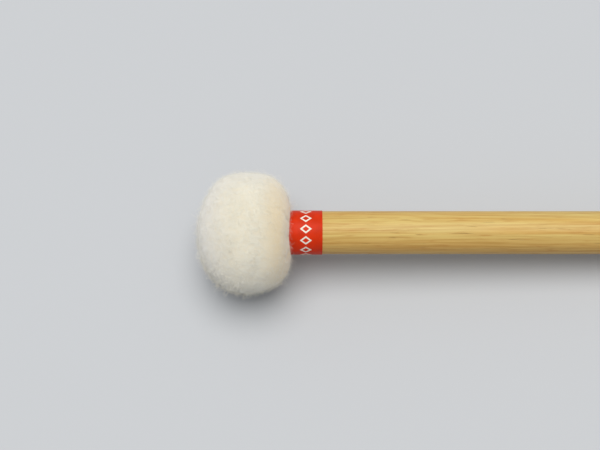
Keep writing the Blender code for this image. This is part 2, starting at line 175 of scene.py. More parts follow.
def count(name, description, default):
    return IntProperty(name=name, description=description, default=default, min=1)


class MalletSizes(PropertyGroup):
    """Sizes of the pieces; what the solids settle comes from the frame."""

    head_radius: length("Head radius", "Radius of the felt ball at its widest", COVER.outer)
    front_depth: length("Front depth", "From the crown to the widest ring", widest_station("cover"))
    rear_depth: length("Rear depth", "From the widest ring to where the rear would close", 15.2 * MM)
    front_fullness: fullness_of("Front fullness", 2.2)
    rear_fullness: fullness_of("Rear fullness", 2.7)
    cover_thickness: length("Cover thickness", "Wall of the soft felt", 5.0 * MM)
    lip_rounding: length("Lip rounding", "Rounding of the felt's edge round the label", 0.9 * MM)
    pleats: count("Pleats", "Folds of the gathered felt", 11)
    pleat_depth: length("Pleat depth", "Depth of the creases where they are deepest", 0.95 * MM)
    pleat_reach: length("Pleat reach", "How far the creases run out over the ball", 7.0 * MM)
    nap_count: count("Nap fibres", "Short fibres that stand off the felt", 16000)
    nap_length: length("Nap length", "Mean length of the short fibres", 1.1 * MM)
    matted_count: count("Matted fibres", "Fibres that lie tangled on the felt", 1600)
    matted_length: length("Matted length", "Mean length of the lying fibres", 2.2 * MM)
    stray_count: count("Stray fibres", "Long fibres that stand off the felt", 700)
    stray_length: length("Stray length", "Mean length of the long fibres", 2.8 * MM)
    wisp_count: count("Wisps", "Tries for a lock of fibres, most of them on the rubbed side", 1600)
    wisp_length: length("Wisp length", "Mean length of a lock", 1.9 * MM)
    fibre_thickness: length("Fibre thickness", "Thickness of a wool fibre at its root", 0.03 * MM)
    shoulder_rounding: length("Edge rounding", "Rounding of the turned edges of the shaft", 0.3 * MM)
    butt_rounding: length("Butt rounding", "Rounding of the butt", 5.5 * MM)
    tenon_radius: length("Tenon radius", "Radius of the shaft inside the core", 4.8 * MM)
    glue_grooves: count("Glue grooves", "Grooves round the tenon that hold the glue", 2)
    groove_width: length("Groove width", "Width of a glue groove", 1.2 * MM)
    groove_depth: length("Groove depth", "Depth of a glue groove", 0.35 * MM)
    thread_pitch: length("Thread pitch", "Step of the screw's thread for each turn", 1.3 * MM)
    thread_height: length("Thread height", "Height of the screw's thread over its shank", 0.22 * MM)
    tape_thickness: length("Tape thickness", "Thickness of the red tape", 0.18 * MM)
    mark_length: length("Mark length", "Length of a printed lozenge along the shaft", 4.0 * MM)
    mark_width: length("Mark width", "Width of a printed lozenge round the shaft", 3.0 * MM)
    mark_stroke: length("Mark stroke", "Width of the printed line", 0.5 * MM)
    marks: count("Marks", "Printed lozenges round the label", 12)


class MalletColours(PropertyGroup):
    """Base colours of the finishes."""

    felt: colour("Felt", "Soft white felt of the cover", srgb(242, 237, 221))
    felt_cool: colour("Cool felt", "Felt round the crown", srgb(233, 229, 222))
    # Dimmed, the warm felt also paints the shade in the creases.
    felt_warm_and_crease_shade: colour("Warm felt", "Felt near the neck, and in its creases", srgb(238, 212, 156))
    fibre: colour("Fibre", "Loose wool fibres", srgb(252, 249, 242))
    hard_felt: colour("Hard felt", "Pressed felt under the cover", srgb(186, 180, 168))
    wood: colour("Wood", "Light latewood of the shaft", srgb(223, 194, 117))
    # Painted shade: this darker, warmer tint lies on the shaft's lower side, which faces down and towards the
    # camera; it stands in for shade there, not for redder wood.
    wood_painted_shade: colour("Warm wood", "One side of the shaft, cut from redder wood", srgb(221, 171, 92))
    wood_dark: colour("Dark wood", "Streaks and earlywood of the shaft", srgb(190, 139, 62))
    wood_fleck: colour("Fleck", "Short reddish flecks of the shaft", srgb(186, 122, 52))
    wood_pore: colour("Pore", "Open pores of the shaft", srgb(126, 76, 30))
    maple: colour("Maple", "Turned core", srgb(226, 205, 165))
    zinc: colour("Zinc", "Plating of the screw and washer", srgb(198, 200, 204))
    tape: colour("Tape", "Red vinyl of the label", srgb(222, 52, 8))
    ink: colour("Ink", "Print on the label", srgb(246, 240, 226))
    thread: colour("Thread", "Waxed linen drawstring", srgb(238, 232, 214))


class MalletStudio(PropertyGroup):
    """Camera and light of the picture."""

    elevation: angle_of("Elevation", "Camera above the mallet's side", 65)
    lens: FloatProperty(name="Lens", description="Focal length in millimetres", default=70.0, min=20.0)
    light_strength: FloatProperty(
        name="Light", description="Even light from overhead, in watts per square metre", default=2.08, min=0.0
    )
    light_spread: angle_of("Light spread", "How wide the overhead light is, which softens shadows", 48)
    light_tilt: angle_of("Light tilt", "How far the light comes from behind the mallet", 3)
    fill_strength: FloatProperty(name="Fill", description="Light of the pale room", default=0.37, min=0.0)
    floor: colour("Floor", "The floor and backdrop as they are seen", srgb(206, 208, 212))
    floor_shade: colour("Floor shade", "The floor as it lights the mallet from below", srgb(156, 158, 162))


def mallet_sizes():
    return bpy.context.scene.mallet_sizes


def mallet_colours():
    return bpy.context.scene.mallet_colours


# Shapes

# Steps of a search that halves its range
HALVINGS = 40

# Vertices closer than this to the axis, or to each other in a strand, become one
AT_AXIS = 1e-7
SAME_PLACE = 1e-8


def head_form(side):
    """Depth and fullness of the head, ahead of its widest ring or, for a positive side, behind it."""
    sizes = mallet_sizes()
    if side > 0:
        return sizes.rear_depth, sizes.rear_fullness
    return sizes.front_depth, sizes.front_fullness


def head_point(angle, inset=0.0):
    """Station and radius of the head's outline, drawn in by inset, in a direction from its middle.

    An angle of 0 points to the rear and a half turn to the crown.
    """
    sizes = mallet_sizes()
    side, reach = math.cos(angle), max(math.sin(angle), 0.0)
    depth, fullness = head_form(side)
    along = abs(side) / (depth - inset)
    across = reach / (sizes.head_radius - inset)
    scale = (along**fullness + across**fullness) ** (-1 / fullness)
    return sizes.front_depth + side * scale, reach * scale


def last_angle(low, high, holds):
    """The angle between low and high up to which a test holds, found by halving."""
    for _ in range(HALVINGS):
        angle = (low + high) / 2
        if holds(angle):
            low = angle
        else:
            high = angle
    return angle


def head_angle(radius, inset=0.0):
    """Direction of the point behind the widest ring where the outline has this radius."""
    return last_angle(0.0, math.pi / 2, lambda angle: head_point(angle, inset)[1] < radius)


def head_arc(first, last, steps, inset=0.0):
    """Points of the outline between two directions."""
    return [head_point(first + (last - first) * step / steps, inset) for step in range(steps + 1)]


def skin_share(place):
    """1 on the outside of the head, and less for a place further in."""
    sizes = mallet_sizes()
    side = place.x - sizes.front_depth
    depth, fullness = head_form(side)
    along, across = abs(side) / depth, radius_of(place) / sizes.head_radius
    return (along**fullness + across**fullness) ** (1 / fullness)


def outline_radius(station):
    """Radius of the head's outline at a station."""
    sizes = mallet_sizes()
    side = station - sizes.front_depth
    depth, fullness = head_form(side)
    return sizes.head_radius * (1 - (abs(side) / depth) ** fullness) ** (1 / fullness)


def round_corner(station, radius, rounding, steps):
    """Quarter round from a cylinder of this radius into the flat face that ends at this station."""
    angles = (math.pi / 2 * step / steps for step in range(steps + 1))
    return [
        (station - rounding * (1 - math.sin(angle)), radius - rounding * (1 - math.cos(angle)))
        for angle in angles
    ]


def front_corner(station, radius, rounding, steps):
    """Quarter round from the flat face that starts at this station into a cylinder of this radius."""
    corner = round_corner(station, radius, rounding, steps)
    return [(2 * station - spot, height) for spot, height in reversed(corner)]


def smooth(share):
    share = min(max(share, 0.0), 1.0)
    return share * share * (3 - 2 * share)


def on_ring(station, radius, turn):
    """The place at a station, a radius and a turn round the axis."""
    return Vector((station, radius * math.sin(turn), radius * math.cos(turn)))


def turn_of(place):
    return math.atan2(place.y, place.z)


def turned(outline, sides, closed=False):
    """A bmesh turned round the axis from an outline of (station, radius) points, facing out."""
    bm = bmesh.new()
    line = [bm.verts.new((station, 0, radius)) for station, radius in outline]
    pairs = list(zip(line, line[1:]))
    if closed:
        pairs.append((line[-1], line[0]))
    parts = line + [bm.edges.new(pair) for pair in pairs]
    bmesh.ops.spin(bm, geom=parts, axis=(1, 0, 0), angle=math.tau, steps=sides, use_merge=True)
    poles = [vertex for vertex in bm.verts if radius_of(vertex.co) < AT_AXIS]
    bmesh.ops.remove_doubles(bm, verts=poles, dist=AT_AXIS)
    bmesh.ops.recalc_face_normals(bm, faces=bm.faces)
    return bm


def swept(outline, start, angle, steps, climb=0.0):
    """A bmesh swept from a closed outline by an angle round the axis, with a climb at each step."""
    bm = bmesh.new()
    line = [bm.verts.new((station, 0, radius)) for station, radius in outline]
    section = bm.faces.new(line)
    parts = line + section.edges[:] + [section]
    bmesh.ops.rotate(bm, verts=line, matrix=Matrix.Rotation(start, 3, "X"))
    bmesh.ops.spin(bm, geom=parts, axis=(1, 0, 0), dvec=(climb, 0, 0), angle=angle, steps=steps)
    return bm


def to_mesh(name, bm):
    mesh = bpy.data.meshes.new(name)
    bm.to_mesh(mesh)
    bm.free()
    return mesh


def add_piece(name, mesh, material, slot, *nodes):
    """A finished mesh as a piece of the mallet, in place of the solids that it stands for."""
    mesh.materials.append(material)
    piece = bpy.data.objects.new(name, mesh)
    bpy.context.scene.collection.objects.link(piece)
    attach(piece, "root")
    if nodes:
        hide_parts(*nodes)
    return piece


def seat_piece(name, bm, material, slot, *nodes, sharp=40):
    """Lays a bmesh from the mallet's axis where the solids lie, and adds it as a piece."""
    mesh = to_mesh(name, bm)
    mesh.transform(ON_AXIS)
    mesh.shade_smooth()
    mesh.set_sharp_from_angle(angle=math.radians(sharp))
    return add_piece(name, mesh, material, slot, *nodes)


def strands(lines, thickness, resolution=0, tip=0.35):
    """A bmesh of tubes along lines of points, which taper to a share of their thickness at the end."""
    curve = bpy.data.curves.new("strands", "CURVE")
    curve.dimensions = "3D"
    curve.bevel_depth = thickness / 2
    curve.bevel_resolution = resolution
    curve.use_fill_caps = True
    for line in lines:
        spline = curve.splines.new("POLY")
        spline.points.add(len(line) - 1)
        for index, (point, place) in enumerate(zip(spline.points, line)):
            point.co = (*place, 1.0)
            point.radius = 1 - (1 - tip) * index / (len(line) - 1)
    holder = bpy.data.objects.new("strands", curve)
    mesh = bpy.data.meshes.new_from_object(holder)
    bm = bmesh.new()
    bm.from_mesh(mesh)
    bpy.data.meshes.remove(mesh)
    bpy.data.objects.remove(holder)
    bpy.data.curves.remove(curve)
    bmesh.ops.remove_doubles(bm, verts=bm.verts, dist=SAME_PLACE)
    bmesh.ops.recalc_face_normals(bm, faces=bm.faces)
    return bm


# Finishes


class Finish:
    """A Principled material and the node patterns that make up its finish."""

    def __init__(self, name, roughness, **constants):
        self.material = bpy.data.materials.new(name)
        self.material.use_nodes = True
        self.tree = self.material.node_tree
        self.shader = self.tree.nodes["Principled BSDF"]
        self.shader.inputs["Roughness"].default_value = roughness
        for socket, value in constants.items():
            self.shader.inputs[socket.replace("_", " ")].default_value = value
        place = self.node("TexCoord").outputs["Object"]
        to_axis = self.node(
            "Mapping", Vector=place, Location=OFF_AXIS.translation, Rotation=OFF_AXIS.to_euler()
        )
        self.place = to_axis.outputs["Vector"]

    def feed(self, socket, value):
        """Links a socket to an output, or sets it to a number or a colour."""
        if isinstance(value, bpy.types.NodeSocket):
            self.tree.links.new(value, socket)
        elif socket.type == "RGBA":
            socket.default_value = (*value[:3], 1.0)
        else:
            socket.default_value = value

    def node(self, kind, *values, **named):
        """A new node, with its first sockets and its named ones fed."""
        node = self.tree.nodes.new("ShaderNode" + kind)
        for socket, value in zip(node.inputs, values):
            self.feed(socket, value)
        for name, value in named.items():
            self.feed(node.inputs[name], value)
        return node

    def maths(self, operation, *values):
        node = self.node("Math", *values)
        node.operation = operation
        return node.outputs[0]

    def times(self, first, second):
        return self.maths("MULTIPLY", first, second)

    def plus(self, first, second):
        return self.maths("ADD", first, second)

    def noise(self, scale, detail=2.0, place=None, roughness=0.5, distortion=0.0):
        node = self.node("TexNoise", Vector=place or self.place, Scale=scale, Detail=detail)
        self.feed(node.inputs["Roughness"], roughness)
        self.feed(node.inputs["Distortion"], distortion)
        return node.outputs["Fac"]

    def streaks(self, along, across, detail=2.0, shift=0.0):
        """Noise with one scale along the axis and another across it."""
        scale = (along, across, across)
        place = self.node("Mapping", Vector=self.place, Scale=scale, Location=(shift, shift, shift))
        return self.noise(1.0, detail, place.outputs["Vector"])

    def between(self, value, low, high, start=0.0, end=1.0):
        """The value's place between low and high, as a smooth step from start to end."""
        node = self.node("MapRange", value, low, high, start, end)
        node.interpolation_type = "SMOOTHSTEP"
        return node.outputs["Result"]

    def mix(self, share, first, second):
        node = self.node("Mix")
        node.data_type = "RGBA"
        for index, value in ((0, share), (6, first), (7, second)):
            self.feed(node.inputs[index], value)
        return node.outputs[2]

    def tinge(self, base, tone, pattern, low, high, share=1.0):
        """Mixes up to a share of a tone into the base, as the pattern goes from low to high."""
        return self.mix(self.between(pattern, low, high, 0.0, share), base, tone)

    def axes(self):
        """The distance behind the crown, and those to the side and up."""
        return self.node("SeparateXYZ", self.place).outputs

    def attribute(self, name):
        node = self.node("Attribute")
        node.attribute_name = name
        return node.outputs["Fac"]

    def paint(self, value):
        self.feed(self.shader.inputs["Base Color"], value)

    def dull(self, value):
        self.feed(self.shader.inputs["Roughness"], value)

    def relief(self, *heights):
        """Bumps from pairs of a height between 0 and 1 and the depth of its relief."""
        normal = self.shader.inputs["Normal"]
        for height, depth in heights:
            node = self.node("Bump", Height=height, Distance=depth)
            if normal.is_linked:
                self.feed(node.inputs["Normal"], normal.links[0].from_socket)
            self.feed(normal, node.outputs["Normal"])


def shade(value, factor):
    """A colour made lighter or darker by a factor."""
    return tuple(channel * factor for channel in value)


def soft_felt_finish():
    """Brushed wool: cloudy cream white, warmer at the neck, with painted shade in its creases and a tangled
    relief.
    """
    colours = mallet_colours()
    felt = Finish("soft_white_felt", 1.0, Diffuse_Roughness=0.8, Sheen_Weight=1.0, Sheen_Roughness=0.6)
    station = felt.axes()["X"]
    clouds = felt.noise(110, 3.0)
    tufts = felt.noise(650, 4.0, roughness=0.6, distortion=0.6)
    fibres = felt.noise(2600, 3.0, roughness=0.7, distortion=2.5)
    base = felt.tinge(shade(colours.felt, 0.965), shade(colours.felt, 1.02), clouds, 0.35, 0.65)
    base = felt.tinge(base, colours.felt_cool, station, 14 * MM, 2 * MM, 0.8)
    base = felt.tinge(base, colours.felt_warm_and_crease_shade, station, 20 * MM, 31 * MM, 0.85)
    base = felt.tinge(base, colours.felt_warm_and_crease_shade, tufts, 0.62, 0.30, 0.16)
    # Painted shade: a dimmed warm felt tone darkens the creases, as deep as each place lies in one.
    base = felt.mix(felt.attribute("crease"), base, shade(colours.felt_warm_and_crease_shade, 0.72))
    felt.paint(felt.tinge(base, (1.0, 0.99, 0.95), fibres, 0.40, 0.62, 0.10))
    felt.relief((tufts, 0.30 * MM), (fibres, 0.10 * MM))
    return felt.material


def fibre_finish():
    """Single wool fibres, from white to cream."""
    colours = mallet_colours()
    fibre = Finish("wool_fibres", 0.9, Diffuse_Roughness=1.0, Sheen_Weight=1.0, Sheen_Roughness=0.6)
    fibre.paint(fibre.mix(fibre.noise(1800), colours.fibre, colours.felt))
    return fibre.material


def hard_felt_finish():
    """Dense pressed felt, flecked with darker and lighter fibres."""
    tone = mallet_colours().hard_felt
    felt = Finish("hard_grey_felt", 1.0, Sheen_Weight=0.2)
    flecks = felt.noise(1500, 4.0, roughness=0.7, distortion=2.0)
    base = felt.mix(felt.noise(220, 3.0), shade(tone, 0.85), shade(tone, 1.12))
    base = felt.tinge(base, shade(tone, 1.5), flecks, 0.56, 0.66, 0.5)
    felt.paint(felt.tinge(base, shade(tone, 0.45), flecks, 0.44, 0.34, 0.6))
    felt.relief((flecks, 0.15 * MM))
    return felt.material


# Growth rings of the shaft: their spacing, how far they wander, their slope along it and their lean
RING_SPACING = 1.35 * MM
RING_WANDER = 4.5 * MM
RING_SLOPE = 0.006
RING_LEAN = math.radians(62)


def hickory_finish():
    """Straight-grained wood under satin varnish: growth rings, fibre streaks and short dark pores."""
    colours = mallet_colours()
    wood = Finish("varnished_hickory", 0.45, Specular_IOR_Level=0.3, Coat_Weight=0.05, Coat_Roughness=0.25)
    along, side, up = wood.axes()
    depth = wood.plus(wood.times(side, math.sin(RING_LEAN)), wood.times(up, math.cos(RING_LEAN)))
    depth = wood.plus(depth, wood.times(along, RING_SLOPE))
    wander = wood.times(wood.streaks(22, 130), RING_WANDER)
    rings = wood.maths("FRACT", wood.maths("DIVIDE", wood.plus(depth, wander), RING_SPACING))
    early = wood.between(rings, 0.55, 0.0)
    broad = wood.streaks(14, 330, shift=0.7)
    streaks = wood.streaks(34, 1700, 3.0)
    fine = wood.streaks(90, 5200, 3.0)
    flecks = wood.streaks(130, 1500, shift=5.0)
    dashes = wood.streaks(130, 2600, shift=3.0)
    base = wood.tinge(colours.wood, shade(colours.wood_dark, 1.3), broad, 0.40, 0.70, 0.6)
    # Painted shade: darker and warmer towards the shaft's lower side, which faces down and towards the
    # camera.
    base = wood.tinge(base, colours.wood_painted_shade, depth, 0.5 * MM, -3 * MM, 0.65)
    base = wood.mix(wood.times(early, 0.27), base, colours.wood_dark)
    base = wood.tinge(base, colours.wood_dark, streaks, 0.49, 0.68, 0.50)
    base = wood.tinge(base, shade(colours.wood, 1.12), streaks, 0.46, 0.30, 0.45)
    base = wood.tinge(base, colours.wood_dark, fine, 0.52, 0.68, 0.24)
    base = wood.tinge(base, colours.wood_fleck, flecks, 0.54, 0.76, 0.45)
    pores = wood.times(wood.between(dashes, 0.62, 0.74), wood.between(early, 0.1, 0.6))
    # The butt shows end grain: darker, with its rings drawn and dotted with vessels
    butt = mallet_sizes().butt_rounding
    end_grain = wood.between(along, SHAFT.rear - butt, SHAFT.rear - 0.1 * butt)
    base = wood.mix(wood.times(end_grain, 0.55), base, shade(colours.wood_dark, 0.95))
    base = wood.mix(wood.times(wood.times(early, end_grain), 0.7), base, colours.wood_pore)
    vessels = wood.times(wood.between(dashes, 0.56, 0.66, 0.0, 0.8), end_grain)
    vessels = wood.times(vessels, wood.between(early, 0.0, 0.5, 0.25, 1.0))
    pores = wood.maths("MAXIMUM", pores, vessels)
    wood.paint(wood.mix(wood.times(pores, 0.65), base, colours.wood_pore))
    wood.dull(wood.between(fine, 0.3, 0.7, 0.36, 0.5))
    wood.relief((wood.maths("SUBTRACT", 1.0, pores), 0.05 * MM), (fine, 0.02 * MM))
    return wood.material


def maple_finish():
    """Turned and unvarnished: pale wood with flecks and fine tool rings."""
    tone = mallet_colours().maple
    maple = Finish("turned_maple", 0.62)
    rings = maple.streaks(3500, 10, 1.0)
    base = maple.tinge(tone, shade(tone, 0.78), maple.streaks(40, 900, 3.0), 0.4, 0.7)
    maple.paint(maple.tinge(base, shade(tone, 0.6), rings, 0.5, 0.7, 0.2))
    maple.relief((rings, 0.04 * MM))
    return maple.material


def zinc_finish():
    """Plated steel with a faint brushed haze."""
    tone = mallet_colours().zinc
    zinc = Finish("zinc_plated_steel", 0.35, Metallic=1.0)
    haze = zinc.streaks(6000, 900, 3.0)
    zinc.paint(zinc.mix(haze, shade(tone, 0.85), shade(tone, 1.05)))
    zinc.dull(zinc.between(haze, 0.3, 0.7, 0.28, 0.45))
    zinc.relief((haze, 0.01 * MM))
    return zinc.material


def tape_finish():
    """Red vinyl with a satin gloss and the faint grain of the wood it is pulled over."""
    tone = mallet_colours().tape
    tape = Finish("red_vinyl_tape", 0.42, Specular_IOR_Level=0.15)
    clouds = tape.noise(260, 3.0)
    grain = tape.streaks(60, 1500)
    base = tape.tinge(shade(tone, 0.9), shade(tone, 1.06), clouds, 0.35, 0.7)
    tape.paint(tape.tinge(base, shade(tone, 0.55), grain, 0.45, 0.75, 0.12))
    tape.dull(tape.between(clouds, 0.3, 0.7, 0.38, 0.48))
    tape.relief((grain, 0.012 * MM))
    return tape.material


def ink_finish():
    """Printed white with a slightly rough edge to its colour."""
    colours = mallet_colours()
    ink = Finish("white_print", 0.5)
    speckle = ink.noise(3500, 3.0)
    ink.paint(ink.tinge(colours.ink, colours.tape, speckle, 0.55, 0.75, 0.25))
    ink.relief((speckle, 0.008 * MM))
    return ink.material


def thread_finish():
    """Waxed linen with slubs along its plies."""
    tone = mallet_colours().thread
    thread = Finish("waxed_linen_thread", 0.55, Coat_Weight=0.1)
    slubs = thread.noise(2200, 3.0, distortion=1.0)
    thread.paint(thread.tinge(tone, shade(tone, 0.72), slubs, 0.35, 0.7))
    thread.relief((slubs, 0.03 * MM))
    return thread.material


# Head

HEAD_SIDES = 288
SKIN_STEPS = 96
LIP_STEPS = 9
LIP_STEP = math.radians(17)
LINING_STEPS = 26

# Room between the felt and the tape, the shaft, and the drawstring with its knot
LIP_GAP = 0.03 * MM
BORE_GAP = 0.12 * MM
POCKET_ROOM = 0.3 * MM

# Softness of the edge of the flat that the ground presses into the felt
FLAT_SOFTNESS = 0.12 * MM

# Hand-made unevenness of the ball: station, turn, spread and height of each swell or hollow
SWELLS = [
    (0.3 * MM, math.radians(-20), 9.0 * MM, -0.40 * MM),
    (2.4 * MM, math.radians(62), 5.5 * MM, -0.75 * MM),
    (9.0 * MM, math.radians(62), 5.0 * MM, 0.10 * MM),
    (4.5 * MM, math.radians(-112), 9.0 * MM, -0.35 * MM),
    (17.0 * MM, math.radians(-115), 12.0 * MM, 0.05 * MM),
    (17.0 * MM, math.radians(65), 12.0 * MM, -0.50 * MM),
    (24.0 * MM, math.radians(-112), 6.0 * MM, -0.35 * MM),
    (30.0 * MM, math.radians(-112), 5.0 * MM, 0.45 * MM),
    (31.3 * MM, math.radians(-25), 6.0 * MM, -0.40 * MM),
    (25.0 * MM, math.radians(-20), 7.0 * MM, 0.15 * MM),
    (12.0 * MM, math.radians(160), 8.0 * MM, -0.30 * MM),
]

# Relief of the felt: height and size of its lumps
LUMPS = [(0.26 * MM, 9.0 * MM), (0.09 * MM, 3.4 * MM), (0.09 * MM, 1.3 * MM)]

# Shares of the way to the outline: where lumps and creases start, and over which they grow full
LUMPY_FROM = 0.90
LUMPY_OVER = 0.08
CREASED_FROM = 0.91
CREASED_OVER = 0.05

# A crease: its width and how that grows, its share of the depth at the lip, and where it deepens
CREASE_WIDTH = 0.45 * MM
CREASE_WIDENING = 0.11
CREASE_AT_LIP = 0.08
CREASE_OPENS = 0.6 * MM
CREASE_OPENING = 2.8 * MM


def tape_outer():
    """Radius of the label over a single layer of tape."""
    return TAPE_INNER + mallet_sizes().tape_thickness


def cover_outline():
    """From the crown over the ball, round the lip, through the pocket and over the collar to the lining."""
    sizes = mallet_sizes()
    lip = tape_outer() + LIP_GAP
    roll = sizes.lip_rounding
    roll_angle = head_angle(lip + roll)
    roll_station = head_point(roll_angle)[0]
    outline = head_arc(math.pi, roll_angle, SKIN_STEPS)
    for step in range(1, LIP_STEPS + 1):
        angle = math.pi / 2 - LIP_STEP * step
        outline.append((roll_station - roll + roll * math.sin(angle), lip + roll - roll * math.cos(angle)))
    pocket_radius = DRAWSTRING.outer + POCKET_ROOM
    pocket_front = KNOT.front - POCKET_ROOM
    collar_radius = DRAWSTRING.inner - POCKET_ROOM
    collar_rear = LABEL.front - 0.4 * MM
    bore = SHAFT.outer + BORE_GAP
    outline += [
        (roll_station - 2 * roll + POCKET_ROOM, pocket_radius),
        (pocket_front, pocket_radius),
        (pocket_front, collar_radius),
        (collar_rear, collar_radius),
        (LABEL.front - 0.3 * MM, (collar_radius + bore) / 2),
        (collar_rear, bore),
    ]
    neck = head_angle(bore, sizes.cover_thickness)
    return outline + head_arc(neck, math.pi, LINING_STEPS, sizes.cover_thickness)


def make_pleats(rng):
    """Turn, depth and reach of each crease of the gathered felt."""
    sizes = mallet_sizes()
    return [
        (
            math.tau * (index + rng.uniform(-0.22, 0.22)) / sizes.pleats,
            sizes.pleat_depth * rng.uniform(0.6, 1.15),
            sizes.pleat_reach * rng.uniform(0.6, 1.25),
        )
        for index in range(sizes.pleats)
    ]


def crease_depth(place, pleats):
    """How far the gathered felt is drawn in at a place, and how deep in a crease the place is."""
    sizes = mallet_sizes()
    radius = radius_of(place)
    from_lip = radius - tape_outer()
    if place.x < sizes.front_depth or from_lip > 1.4 * sizes.pleat_reach:
        return 0.0, 0.0
    turn = turn_of(place)
    width = CREASE_WIDTH + CREASE_WIDENING * max(from_lip, 0.0)
    opened = smooth((from_lip - CREASE_OPENS) / CREASE_OPENING)
    drawn = 0.0
    for middle, depth, reach in pleats:
        across = abs((turn - middle + math.pi) % math.tau - math.pi) * radius
        along = smooth(1 - from_lip / reach) * (CREASE_AT_LIP + (1 - CREASE_AT_LIP) * opened)
        drawn = max(drawn, depth * along * math.exp(-((across / width) ** 1.25)))
    return drawn, min(1.0, drawn / sizes.pleat_depth)


def swelling(place):
    """Height of the hand-made swells and hollows at a place."""
    height = 0.0
    for station, turn, spread, amount in SWELLS:
        away = (place - on_ring(station, outline_radius(station), turn)).length / spread
        height += amount * math.exp(-away * away)
    return height


def shape_cover(bm, rng):
    """Gives the turned shell its lumps, swells and pleats, and records how deep each place is in a crease,
    where the finish paints shade.
    """
    pleats = make_pleats(rng)
    crease = bm.verts.layers.float.new("crease")
    bm.normal_update()
    moves = []
    for vertex in bm.verts:
        skin = skin_share(vertex.co)
        lumpy = smooth((skin - LUMPY_FROM) / LUMPY_OVER)
        creased = smooth((skin - CREASED_FROM) / CREASED_OVER)
        height = sum(amount * noise.noise(vertex.co / size) for amount, size in LUMPS)
        height = lumpy * (height + swelling(vertex.co))
        drawn, share = crease_depth(vertex.co, pleats)
        vertex[crease] = share * creased
        moves.append(vertex.normal * height - head_normal(vertex.co) * drawn * creased)
    move_skin(bm, moves)


def head_normal(place):
    """Outward direction of the head's outline through a place."""
    sizes = mallet_sizes()
    side = (place.x - sizes.front_depth) / sizes.front_depth
    return Vector((side, place.y / sizes.head_radius, place.z / sizes.head_radius)).normalized()


def move_skin(bm, moves):
    for vertex, move in zip(bm.verts, moves):
        vertex.co += move


def rest_on_ground(mesh, softness):
    """Presses what hangs below the ground up to it, with a soft edge to the flat."""
    for vertex in mesh.vertices:
        height = vertex.co.z
        if height < 6 * softness:
            vertex.co.z = (height + math.hypot(height, softness)) / 2


class MALLET_OT_felt_cover(Operator):
    """Turn the soft felt cover and gather it round the shaft"""

    bl_idname = "mallet.felt_cover"
    bl_label = "Felt Cover"

    def execute(self, context):
        bm = turned(cover_outline(), HEAD_SIDES)
        shape_cover(bm, random.Random(11))
        mesh = to_mesh("felt_cover", bm)
        mesh.transform(ON_AXIS)
        rest_on_ground(mesh, FLAT_SOFTNESS)
        mesh.shade_smooth()
        piece = add_piece("felt_cover", mesh, soft_felt_finish(), "soft_felt", "cover")
        return {"FINISHED"}


# Loose fibres

NAP_PIECES = 3

# Where fibres grow: share of the way to the outline, room off the shaft, and how far the felt faces out
OUTSIDE_SHARE = 0.955
OUTSIDE_CLEAR = 1.1 * MM
OUTSIDE_FACING = 0.2

# How deep a fibre starts in the felt, and how far it stays off the ground
ROOT_DEPTH = 0.06 * MM
GROUND_GAP = 0.05 * MM

# Locks of wool that stand off the rubbed side: its turn, the fibres in a lock, and half its width
RUBBED_TURN = math.radians(-119)
WISP_FIBRES = 7
WISP_WIDTH = 0.12 * MM


def outer_faces():
    """Corners and outward direction, as long as the area, of each face on the outside of the cover.

    Blender may list the faces in any order and start a face at any corner, so both are settled here.
    """
    mesh = bpy.data.objects["felt_cover"].data
    rings = []
    for face in mesh.polygons:
        ring = list(face.vertices)
        start = ring.index(min(ring))
        rings.append(ring[start:] + ring[:start])
    faces = []
    for ring in sorted(rings):
        corners = [mesh.vertices[index].co for index in ring]
        middle = sum(corners, Vector()) / len(corners)
        outward = Vector()
        for first, second in zip(corners, corners[1:] + corners[:1]):
            outward += (first - middle).cross(second - middle) / 2
        place = OFF_AXIS @ middle
        outside = skin_share(place) > OUTSIDE_SHARE and radius_of(place) > SHAFT.outer + OUTSIDE_CLEAR
        if outside or place.x < COVER.front + MM:
            if (OFF_AXIS.to_3x3() @ outward.normalized()).dot(head_normal(place)) > OUTSIDE_FACING:
                faces.append((corners, outward))
    return faces


def felt_spots(rng, number):
    """Random places on the outside of the cover, each with its outward direction."""
    faces = outer_faces()
    areas = [outward.length for corners, outward in faces]
    for corners, outward in rng.choices(faces, weights=areas, k=number):
        shares = [rng.random() for _ in corners]
        spot = sum((corner * share for corner, share in zip(corners, shares)), Vector()) / sum(shares)
        yield spot, outward.normalized()


def any_way(rng, outward):
    """A random direction along the felt."""
    along = outward.orthogonal().normalized()
    along.rotate(Quaternion(outward, rng.uniform(0, math.tau)))
    return along


def fibre_line(rng, spot, outward, along, reach, rise, curl, points, loop=False):
    """A curly line of points that starts in the felt, runs along it and rises or loops."""
    across = outward.cross(along)
    phase = rng.uniform(0, math.tau)
    waves = rng.uniform(0.5, 1.4)
    line = []
    for index in range(points):
        share = index / (points - 1)
        wave = math.sin(phase + waves * math.tau * share) - math.sin(phase)
        lift = math.sin(math.pi * share) if loop else share**1.2
        sway = math.sin(2 * phase + waves * 5.0 * share) - math.sin(2 * phase)
        place = spot + along * reach * share + across * curl * wave
        place += outward * (rise * lift + 0.3 * curl * sway - ROOT_DEPTH)
        place.z = max(place.z, GROUND_GAP)
        line.append(place)
    return line


def standing_fibres(rng, number, mean, spread, lean, lift, curl, points, loops=0.0):
    """Lines of fibres that lean off the felt; their lift and curl are shares of their length."""
    for spot, outward in felt_spots(rng, number):
        size = mean * rng.uniform(*spread)
        slope = math.radians(rng.uniform(*lean))
        loop = loops > 0 and rng.random() < loops
        along = any_way(rng, outward)
        reach, rise = size * math.cos(slope), lift * size * math.sin(slope)
        yield fibre_line(rng, spot, outward, along, reach, rise, curl * size, points, loop)


def add_fibres(name, lines, thickness):
    """Wool fibres along lines of points, as a piece."""
    mesh = to_mesh(name, strands(lines, thickness))
    add_piece(name, mesh, bpy.data.materials["wool_fibres"], "soft_felt")


